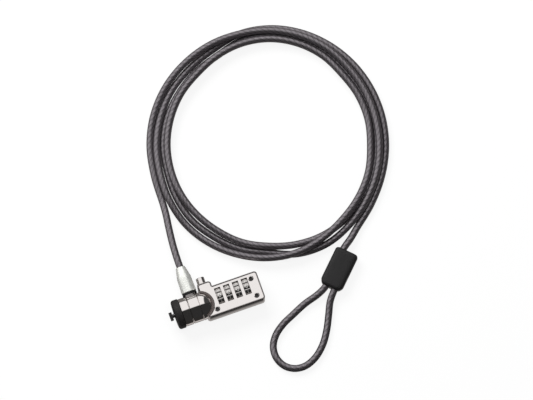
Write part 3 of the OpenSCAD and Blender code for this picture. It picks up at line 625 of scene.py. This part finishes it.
def satin_nickel():
    """Bead-blasted nickel: pale and even, with no sharp reflections."""
    return metal("satin_nickel_plate", "#f0f1ec", 0.34, 5.0, metallic=0.65)


def stamped_foil():
    """Hot-stamped silver foil: pale, bright to the light and dark away from it."""
    return metal("stamped_silver_foil", "#e6e3df", 0.4, 0.3, 0.002, metallic=0.75)


# How far under the top a rivet's head still counts, how far apart two rivets are at least, and
# how much a face of a dish points up
HEAD_DEPTH = 0.02 * MM
RIVET_SPACING = 4 * MM
DISH_FACING = 0.3


def darken_dishes(rivets, radius):
    """Paints the dish in each rivet's head near black with the black-oxide material: painted shade
    in the hollow.
    """
    mesh = rivets.data
    mesh.materials.append(blackened_steel())
    top = max(v.co.z for v in mesh.vertices)
    heads = [v.co for v in mesh.vertices if v.co.z > top - HEAD_DEPTH]
    centres = []
    for co in heads:
        for group in centres:
            if (group[0] - co).xy.length < RIVET_SPACING:
                group.append(co)
                break
        else:
            centres.append([co])
    centres = [sum(group, Vector()) / len(group) for group in centres]
    for face in mesh.polygons:
        away = min((face.center - centre).xy.length for centre in centres)
        if away < radius and face.normal.z > DISH_FACING:
            face.material_index = 1


# Number wheels

# Facets of a dial for each figure, the dial's bore, sharpest angles that stay smooth, height of a
# numeral against its type size, and strips that a figure is cut into so that it can bend
FACETS_PER_FIGURE = 22
DIAL_BORE = 3.25 * MM
DIAL_SMOOTH = math.radians(30)
FIGURE_SMOOTH = math.radians(40)
NUMERAL_SHARE = 0.73
FIGURE_STRIPS = 10


def dial_tree(material):
    """Geometry nodes of a dial: a rounded ring with a groove between each two figures."""
    tree = bpy.data.node_groups.new("scalloped_dial", "GeometryNodeTree")
    for name, kind, default in (
        ("Width", "NodeSocketFloat", 4 * MM), ("Radius", "NodeSocketFloat", 7 * MM),
        ("Bore", "NodeSocketFloat", 3.2 * MM), ("Edge", "NodeSocketFloat", 0.3 * MM),
        ("Figures", "NodeSocketInt", 10), ("Groove depth", "NodeSocketFloat", 0.35 * MM),
        ("Groove half width", "NodeSocketFloat", 0.55 * MM),
    ):
        tree.interface.new_socket(name, in_out="INPUT", socket_type=kind).default_value = default
    tree.interface.new_socket("Geometry", in_out="OUTPUT", socket_type="NodeSocketGeometry")
    given = node(tree, "NodeGroupInput").outputs
    radius, bore, figures = given["Radius"], given["Bore"], given["Figures"]

    # The ring: a rounded section, swept round the circle through its middle
    wall = node(tree, MATH, {0: radius, 1: bore}, operation="SUBTRACT")
    both = node(tree, MATH, {0: radius, 1: bore}, operation="ADD")
    middle = node(tree, MATH, {0: both, 1: 0.5}, operation="MULTIPLY")
    section = node(tree, "GeometryNodeCurvePrimitiveQuadrilateral",
                   {"Width": wall, "Height": given["Width"]})
    rounded = node(tree, "GeometryNodeFilletCurve",
                   {"Curve": section, "Radius": given["Edge"], "Count": 4}, mode="POLY")
    facets = node(tree, MATH, {0: figures, 1: FACETS_PER_FIGURE}, operation="MULTIPLY")
    circle = node(tree, "GeometryNodeCurvePrimitiveCircle",
                  {"Resolution": facets, "Radius": middle})
    ring = node(tree, "GeometryNodeCurveToMesh", {"Curve": circle, "Profile Curve": rounded})

    # How far each point is from the middle of the nearest groove, in half widths of it
    place = node(tree, "GeometryNodeInputPosition")
    split = node(tree, "ShaderNodeSeparateXYZ", {0: place})
    x, y = split.outputs["X"], split.outputs["Y"]
    angle = node(tree, MATH, {0: y, 1: x}, operation="ARCTAN2")
    per_radian = node(tree, MATH, {0: figures, 1: 2 * math.pi}, operation="DIVIDE")
    passed = node(tree, MATH, {0: angle, 1: per_radian}, operation="MULTIPLY")
    share = node(tree, MATH, {0: passed}, operation="FRACT")
    beside = node(tree, MATH, {0: share, 1: 0.5}, operation="SUBTRACT")
    off_groove = node(tree, MATH, {0: beside}, operation="ABSOLUTE")
    girth = node(tree, MATH, {0: radius, 1: 2 * math.pi}, operation="MULTIPLY")
    pitch = node(tree, MATH, {0: girth, 1: figures}, operation="DIVIDE")
    away = node(tree, MATH, {0: off_groove, 1: pitch}, operation="MULTIPLY")
    reach = node(tree, MATH, {0: away, 1: given["Groove half width"]}, operation="DIVIDE")

    # The groove's depth there, a cosine wave, on the outside of the ring only
    capped = node(tree, MATH, {0: reach, 1: 1.0}, operation="MINIMUM")
    phase = node(tree, MATH, {0: capped, 1: math.pi}, operation="MULTIPLY")
    wave = node(tree, MATH, {0: phase}, operation="COSINE")
    hollow = node(tree, MATH, {0: wave, 1: 0.5, 2: 0.5}, operation="MULTIPLY_ADD")
    depth = node(tree, MATH, {0: hollow, 1: given["Groove depth"]}, operation="MULTIPLY")
    flat = node(tree, "ShaderNodeCombineXYZ", {0: x, 1: y})
    out = node(tree, "ShaderNodeVectorMath", {0: flat}, operation="LENGTH")
    outside = node(tree, MATH, {0: out.outputs["Value"], 1: middle}, operation="GREATER_THAN")
    along = node(tree, "ShaderNodeVectorMath", {0: flat}, operation="NORMALIZE")
    cut = node(tree, MATH, {0: depth, 1: outside}, operation="MULTIPLY")
    inward = node(tree, MATH, {0: cut, 1: -1.0}, operation="MULTIPLY")
    shift = node(tree, "ShaderNodeVectorMath", {0: along, "Scale": inward}, operation="SCALE")
    grooved = node(tree, "GeometryNodeSetPosition", {"Geometry": ring, "Offset": shift})

    # The dial turned onto the barrel's direction, as one mesh with its material
    turned = node(tree, "GeometryNodeTransform", {
        "Geometry": grooved, "Rotation": (0, -math.pi / 2, 0)})
    real = node(tree, "GeometryNodeRealizeInstances", {0: turned})
    finished = node(tree, "GeometryNodeSetMaterial", {"Geometry": real, "Material": material})
    node(tree, "NodeGroupOutput", {"Geometry": finished})
    return tree


def run_tree(name, tree, values):
    """The plain mesh piece that a geometry nodes tree makes from its named inputs."""
    piece = placed(name, bpy.data.meshes.new(name))
    made = piece.modifiers.new("made", "NODES")
    made.node_group = tree
    for item in tree.interface.items_tree:
        if item.item_type == "SOCKET" and item.in_out == "INPUT" and item.name in values:
            made[item.identifier] = values[item.name]
    mesh = applied(piece)
    mesh.shade_smooth()
    mesh.set_sharp_from_angle(angle=DIAL_SMOOTH)
    return piece


def figure(text, height):
    """A figure's flat mesh, centred on the origin, and cut across so that it can bend."""
    curve = bpy.data.curves.new("figure", "FONT")
    curve.body, curve.size = text, height / NUMERAL_SHARE
    curve.resolution_u = 4
    held = placed("figure", curve)
    bpy.context.view_layer.update()
    mesh = bpy.data.meshes.new_from_object(
        held.evaluated_get(bpy.context.evaluated_depsgraph_get()))
    bpy.data.objects.remove(held)
    build = bmesh.new()
    build.from_mesh(mesh)
    bpy.data.meshes.remove(mesh)
    bmesh.ops.remove_doubles(build, verts=build.verts, dist=1e-7)
    low = [min(v.co[i] for v in build.verts) for i in range(2)]
    high = [max(v.co[i] for v in build.verts) for i in range(2)]
    for v in build.verts:
        v.co.x -= (low[0] + high[0]) / 2
        v.co.y -= (low[1] + high[1]) / 2
    for k in range(1, FIGURE_STRIPS):
        bmesh.ops.bisect_plane(build, geom=build.verts[:] + build.edges[:] + build.faces[:],
                               plane_co=(0, height * (k / FIGURE_STRIPS - 0.5), 0),
                               plane_no=(0, 1, 0))
    return build


def wheel_figures(name, centre, radius, look, material):
    """The figures of one wheel, laid round it and standing the foil's thickness proud."""
    whole = bmesh.new()
    for value in range(look.figures):
        build = figure(str(value), look.figure_height)
        bmesh.ops.triangulate(build, faces=build.faces)
        solid = bmesh.ops.extrude_face_region(build, geom=build.faces[:])
        # The copied points are marked by a height of 1 until the figure is bent round the wheel
        for v in (g for g in solid["geom"] if isinstance(g, bmesh.types.BMVert)):
            v.co.z += 1.0
        turn = -value * 2 * math.pi / look.figures
        for v in build.verts:
            a = turn + v.co.y / radius
            r = radius + (look.foil if v.co.z > 0.5 else -look.foil)
            v.co = (centre[0] + v.co.x, centre[1] + r * math.sin(a), centre[2] + r * math.cos(a))
        bmesh.ops.recalc_face_normals(build, faces=build.faces)
        part = bpy.data.meshes.new("part")
        build.to_mesh(part)
        build.free()
        whole.from_mesh(part)
        bpy.data.meshes.remove(part)
    mesh = bpy.data.meshes.new(name)
    whole.to_mesh(mesh)
    whole.free()
    mesh.materials.append(material)
    mesh.shade_smooth()
    mesh.set_sharp_from_angle(angle=FIGURE_SMOOTH)
    return placed(name, mesh)


class WheelLook(bpy.types.PropertyGroup):
    figures: IntProperty(name="Figures", description="Figures round a wheel", default=10)
    figure_height: FloatProperty(name="Figure height", description="Height of a figure",
                                 default=3.2 * MM, unit="LENGTH")
    foil: FloatProperty(name="Foil", description="Thickness of the stamped figures",
                        default=0.03 * MM, unit="LENGTH")
    groove_depth: FloatProperty(name="Groove depth", description="Depth between two figures",
                                default=0.35 * MM, unit="LENGTH")
    edge: FloatProperty(name="Edge", description="Radius on a wheel's edges",
                        default=0.3 * MM, unit="LENGTH")


class LOCK_OT_wheels(bpy.types.Operator):
    """Four grooved number wheels and the figures stamped on them"""

    bl_idname = "lock.wheels"
    bl_label = "Number wheels"

    def execute(self, context):
        look = context.scene.lock_wheels
        tree = dial_tree(finish_of("wheel_black"))
        foil = stamped_foil()
        for number in range(1, 5):
            source, body = f"number_wheel_{number}", f"wheel_{number}"
            low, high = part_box(source)
            centre, radius = (Vector(low) + Vector(high)) / 2, (high[2] - low[2]) / 2
            wheel = run_tree(f"dial_{number}", tree, {
                "Width": high[0] - low[0], "Radius": radius, "Bore": DIAL_BORE,
                "Edge": look.edge, "Figures": look.figures, "Groove depth": look.groove_depth})
            for v in wheel.data.vertices:
                v.co += centre
            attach(wheel, body)
            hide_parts(source)
            marks = wheel_figures(f"dial_figures_{number}", centre, radius, look, foil)
            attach(marks, body)
        return {"FINISHED"}


# Crimp sleeve

# Steps round a rounded end, straight rows between the ends and sides of the section, how square
# the section is, how far its height follows the ends' rounding, and what stays smooth
CORNER_STEPS = 8
SLEEVE_ROWS = 22
SLEEVE_SIDES = 64
SQUARE_POWER = 0.4
HEIGHT_INSET = 0.9
SLEEVE_SMOOTH = math.radians(50)


class SleeveLook(bpy.types.PropertyGroup):
    width: FloatProperty(name="Width", description="Across both strands",
                         default=16.4 * MM, unit="LENGTH")
    thickness: FloatProperty(name="Thickness", description="Height of the sleeve",
                             default=9 * MM, unit="LENGTH")
    mouth: FloatProperty(name="Mouth", description="How much narrower it is at the loop",
                         default=1.9 * MM, unit="LENGTH")
    mouth_length: FloatProperty(name="Mouth length", description="Over which it narrows",
                                default=3.6 * MM, unit="LENGTH")
    corner: FloatProperty(name="Corner", description="Radius on its corners",
                          default=2.2 * MM, unit="LENGTH")


class LOCK_OT_sleeve(bpy.types.Operator):
    """Moulded sleeve over the crimp where the loop closes"""

    bl_idname = "lock.sleeve"
    bl_label = "Crimp sleeve"

    def execute(self, context):
        look = context.scene.lock_sleeve
        half_l, half_w, half_t = CRIMP_LENGTH / 2, look.width / 2 / MM, look.thickness / 2 / MM
        corner, mouth, reach = look.corner / MM, look.mouth / MM, look.mouth_length / MM
        quarter = [math.pi / 2 * k / CORNER_STEPS for k in range(CORNER_STEPS + 1)]
        first = [(corner * (1 - math.cos(a)) - half_l, corner * (1 - math.sin(a)))
                 for a in quarter]
        rows = np.linspace(corner - half_l, half_l - corner, SLEEVE_ROWS)[1:-1]
        middle = [(t, 0.0) for t in rows]
        stations = first + middle + [(-t, inset) for t, inset in reversed(first)]
        points = []
        for t, inset in stations:
            near = max(0.0, 1 - (t + half_l) / reach)
            w, h = half_w - inset - mouth * near, half_t - inset * HEIGHT_INSET
            for k in range(SLEEVE_SIDES):
                a = 2 * math.pi * k / SLEEVE_SIDES
                across, up = (size * math.copysign(abs(wave) ** SQUARE_POWER, wave)
                              for size, wave in ((w, math.cos(a)), (h, math.sin(a))))
                x, y, z = crimp_point(t, across)
                points.append((x * MM, y * MM, (z + up) * MM))
        sleeve = new_piece("moulded_sleeve", points, ring_faces(len(stations), SLEEVE_SIDES),
                           finish_of("sleeve"))
        sleeve.data.set_sharp_from_angle(angle=SLEEVE_SMOOTH)
        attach(sleeve, "cable")
        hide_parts("crimp_sleeve")
        return {"FINISHED"}


# Stage

CAMERA_LENS = 800
CAMERA_SENSOR = 36
CLIP_START, CLIP_END = 0.05, 50
FLOOR_HALF = 4.0
FLOOR_LEVEL = -0.05 * MM
# Along Y, where metal sees the floor's north tone begin and the near tone come in
NORTH_FROM = 11 * MM
NEAR_FROM, NEAR_FULL = -12.2 * MM, -10.7 * MM
# In parts of the direction that metal looks in: half the blur of the dark card's edge, where the
# horizon starts, and the east edge's blur
CARD_BLUR = 0.04
HORIZON_FROM = 0.02
EAST_BLUR = 0.06
# Share of the tent that is left beyond its east edge
EAST_LEFT = 0.03


def floor_material(stage):
    """Matt white paper, lifted to the page's white with a soft shadow left on it. In metal it is
    a dark card with a grey north, a paler band just south of the barrel's axis and a pale strip
    beyond that."""
    material, tree = new_material("paper_sweep")
    path = node(tree, "ShaderNodeLightPath")
    place = node(tree, "ShaderNodeTexCoord")
    split = node(tree, "ShaderNodeSeparateXYZ", {0: place.outputs["Object"]})
    y = split.outputs["Y"]
    paper = node(tree, "ShaderNodeBsdfDiffuse", {"Color": linear("#ececec")})
    white = node(tree, "ShaderNodeEmission", {"Color": (1, 1, 1, 1), "Strength": 1.0})
    direct = node(tree, MATH, {
        0: path.outputs["Is Camera Ray"], 1: path.outputs["Is Transmission Ray"]},
        operation="MAXIMUM")
    share = node(tree, MATH, {0: direct, 1: stage.floor_lift}, operation="MULTIPLY")
    page = node(tree, "ShaderNodeMixShader", {0: share, 1: paper, 2: white})
    in_strip = node(tree, MATH, {
        0: y, 1: -stage.strip_at, 2: stage.strip_width / 2}, operation="COMPARE")
    north = node(tree, MATH, {0: y, 1: NORTH_FROM}, operation="GREATER_THAN")
    dim = node(tree, "ShaderNodeMix", {0: north, 2: stage.card_tone, 3: stage.north_tone},
               data_type="FLOAT")
    far = node(tree, "ShaderNodeMix", {0: in_strip, 2: dim, 3: stage.strip_tone},
               data_type="FLOAT")
    near = node(tree, "ShaderNodeMapRange", {
        "Value": y, "From Min": NEAR_FROM, "From Max": NEAR_FULL,
        "To Min": 0.0, "To Max": stage.near_tone})
    south = node(tree, MATH, {0: y, 1: 0.0}, operation="LESS_THAN")
    tone = node(tree, MATH, {0: near, 1: south, 2: far}, operation="MULTIPLY_ADD")
    card = node(tree, "ShaderNodeEmission", {"Color": (1, 0.95, 0.92, 1), "Strength": tone})
    finish_material(tree, node(tree, "ShaderNodeMixShader", {
        0: path.outputs["Is Glossy Ray"], 1: page, 2: card}))
    return material


def studio_world(stage):
    """Even fill light. Metal sees a white tent that begins just north of overhead, and a dark
    card in the rest of the sky: overhead, to the south, far east and low at the horizon."""
    world = bpy.data.worlds.new("studio")
    bpy.context.scene.world = world
    world.use_nodes = True
    tree = world.node_tree
    tree.nodes.clear()
    path = node(tree, "ShaderNodeLightPath")
    place = node(tree, "ShaderNodeTexCoord")
    split = node(tree, "ShaderNodeSeparateXYZ", {0: place.outputs["Generated"]})
    card = node(tree, "ShaderNodeMapRange", {
        "Value": split.outputs["Y"], "From Min": stage.card_edge - CARD_BLUR,
        "From Max": stage.card_edge + CARD_BLUR})
    horizon = node(tree, "ShaderNodeMapRange", {
        "Value": split.outputs["Z"], "From Min": HORIZON_FROM, "From Max": stage.horizon})
    east = node(tree, "ShaderNodeMapRange", {
        "Value": split.outputs["X"], "From Min": stage.east_edge,
        "From Max": stage.east_edge + EAST_BLUR, "To Min": 1.0, "To Max": EAST_LEFT})
    window = node(tree, MATH, {0: card, 1: horizon}, operation="MULTIPLY")
    shown = node(tree, MATH, {0: window, 1: east}, operation="MULTIPLY")
    in_metal = node(tree, "ShaderNodeMix", {
        0: shown, 2: stage.card_tone, 3: stage.tent_tone}, data_type="FLOAT")
    metal_sees = node(tree, "ShaderNodeMix", {
        0: path.outputs["Is Glossy Ray"], 2: stage.fill, 3: in_metal}, data_type="FLOAT")
    direct = node(tree, MATH, {
        0: path.outputs["Is Camera Ray"], 1: path.outputs["Is Transmission Ray"]},
        operation="MAXIMUM")
    strength = node(tree, "ShaderNodeMix", {0: direct, 2: metal_sees, 3: 1.0}, data_type="FLOAT")
    light = node(tree, "ShaderNodeBackground", {"Color": (1, 1, 1, 1), "Strength": strength})
    node(tree, "ShaderNodeOutputWorld", {"Surface": light})


def softbox(name, at, aim, width, height, power):
    """An area lamp that hangs at a place and shines at another. Metal doesn't show it."""
    lamp = bpy.data.lights.new(name, "AREA")
    lamp.shape, lamp.size, lamp.size_y, lamp.energy = "RECTANGLE", width, height, power
    held = placed(name, lamp)
    held.location = at
    held.visible_glossy = False
    held.rotation_euler = (aim - at).to_track_quat("-Z", "Y").to_euler()


class StageLook(bpy.types.PropertyGroup):
    azimuth: FloatProperty(name="Azimuth", description="Camera's turn round the lock",
                           default=math.radians(-19.5), subtype="ANGLE")
    elevation: FloatProperty(name="Elevation", description="Camera's height above the floor",
                             default=math.radians(79), subtype="ANGLE")
    view_width: FloatProperty(name="View width", description="What the frame spans at the lock",
                              default=362.4 * MM, unit="LENGTH")
    aim: FloatVectorProperty(name="Aim", description="Point in the middle of the frame",
                             default=(55.35 * MM, 55.45 * MM, 5 * MM), subtype="XYZ")
    fill: FloatProperty(name="Fill", description="Strength of the even light", default=0.3)
    card_edge: FloatProperty(name="Card edge", description="Where the dark card begins",
                             default=0.08)
    east_edge: FloatProperty(name="East edge", description="Where the tent ends to the east",
                             default=0.6)
    card_tone: FloatProperty(name="Card tone", description="Brightness of the dark card",
                             default=0.03)
    tent_tone: FloatProperty(name="Tent tone", description="Brightness of the white tent",
                             default=1.0)
    horizon: FloatProperty(name="Horizon", description="How high the dark horizon reaches",
                           default=0.12)
    strip_at: FloatProperty(name="Strip place", description="How far south of the barrel's "
                            "axis metal shows a pale strip on the floor", default=19 * MM,
                            unit="LENGTH")
    strip_width: FloatProperty(name="Strip width", description="Width of the pale strip",
                               default=10 * MM, unit="LENGTH")
    strip_tone: FloatProperty(name="Strip tone", description="Brightness of the pale strip",
                              default=0.55)
    near_tone: FloatProperty(name="Near tone", description="Brightness in metal of the floor "
                             "just south of the barrel's axis", default=0.35)
    north_tone: FloatProperty(name="North tone", description="Brightness in metal of the floor "
                              "to the north", default=0.2)
    floor_lift: FloatProperty(name="Floor lift", description="Share of page white in the floor",
                              default=0.86)


class LOCK_OT_stage(bpy.types.Operator):
    """White floor, soft light and the camera above the lock"""

    bl_idname = "lock.stage"
    bl_label = "Stage"

    def execute(self, context):
        stage = context.scene.lock_stage
        aim = Vector(stage.aim)
        corners = [(x * FLOOR_HALF, y * FLOOR_HALF, FLOOR_LEVEL)
                   for x, y in ((-1, -1), (1, -1), (1, 1), (-1, 1))]
        floor = new_piece("floor", corners, [(0, 1, 2, 3)], floor_material(stage), smooth=False)
        studio_world(stage)
        softbox("north_softbox", aim + Vector((-0.25, 0.95, 1.05)), aim, 1.0, 0.7, 22)
        softbox("top_softbox", aim + Vector((0.15, -0.1, 1.6)), aim, 0.9, 0.9, 8)
        camera = bpy.data.cameras.new("camera")
        camera.lens, camera.sensor_width = CAMERA_LENS, CAMERA_SENSOR
        camera.clip_start, camera.clip_end = CLIP_START, CLIP_END
        held = placed("camera", camera)
        a, e = stage.azimuth, stage.elevation
        back = Vector((math.sin(a) * math.cos(e), -math.cos(a) * math.cos(e), math.sin(e)))
        held.location = aim + back * (stage.view_width * CAMERA_LENS / CAMERA_SENSOR)
        held.rotation_mode = "QUATERNION"
        held.rotation_quaternion = (-back).to_track_quat("-Z", "Y")
        context.scene.camera = held
        context.scene.view_settings.view_transform = "Standard"
        return {"FINISHED"}


class LOCK_PT_panel(bpy.types.Panel):
    """Lists the steps and their sizes"""

    bl_idname = "LOCK_PT_panel"
    bl_label = "Cable lock"
    bl_space_type = "VIEW_3D"
    bl_region_type = "UI"
    bl_category = "Cable lock"

    def draw(self, context):
        for operator, look in STEPS:
            box = self.layout.box()
            box.operator(operator.bl_idname)
            if look:
                group = getattr(context.scene, look)
                for key in group.__annotations__:
                    box.prop(group, key)


STEPS = [
    (LOCK_OT_stage, "lock_stage"),
    (LOCK_OT_sleeve, "lock_sleeve"),
    (LOCK_OT_cable, "lock_cable"),
    (LOCK_OT_finishes, None),
    (LOCK_OT_head, "lock_head"),
    (LOCK_OT_beads, "lock_beads"),
    (LOCK_OT_wheels, "lock_wheels"),
]
LOOKS = {
    "lock_stage": StageLook, "lock_sleeve": SleeveLook, "lock_cable": CableLook,
    "lock_head": HeadLook, "lock_beads": BeadLook, "lock_wheels": WheelLook,
}


def register():
    for cls in [*LOOKS.values(), *(step[0] for step in STEPS), LOCK_PT_panel]:
        bpy.utils.register_class(cls)
    for name, group in LOOKS.items():
        setattr(bpy.types.Scene, name, PointerProperty(type=group))


def unregister():
    for name in LOOKS:
        delattr(bpy.types.Scene, name)
    for cls in [LOCK_PT_panel, *(step[0] for step in STEPS), *LOOKS.values()]:
        bpy.utils.unregister_class(cls)


def main():
    for stray in [o for o in bpy.data.objects if o.type in ("CAMERA", "LIGHT")]:
        bpy.data.objects.remove(stray)
    register()
    for operator, _ in STEPS:
        group, name = operator.bl_idname.split(".")
        getattr(getattr(bpy.ops, group), name)()


if __name__ == "__main__":
    main()
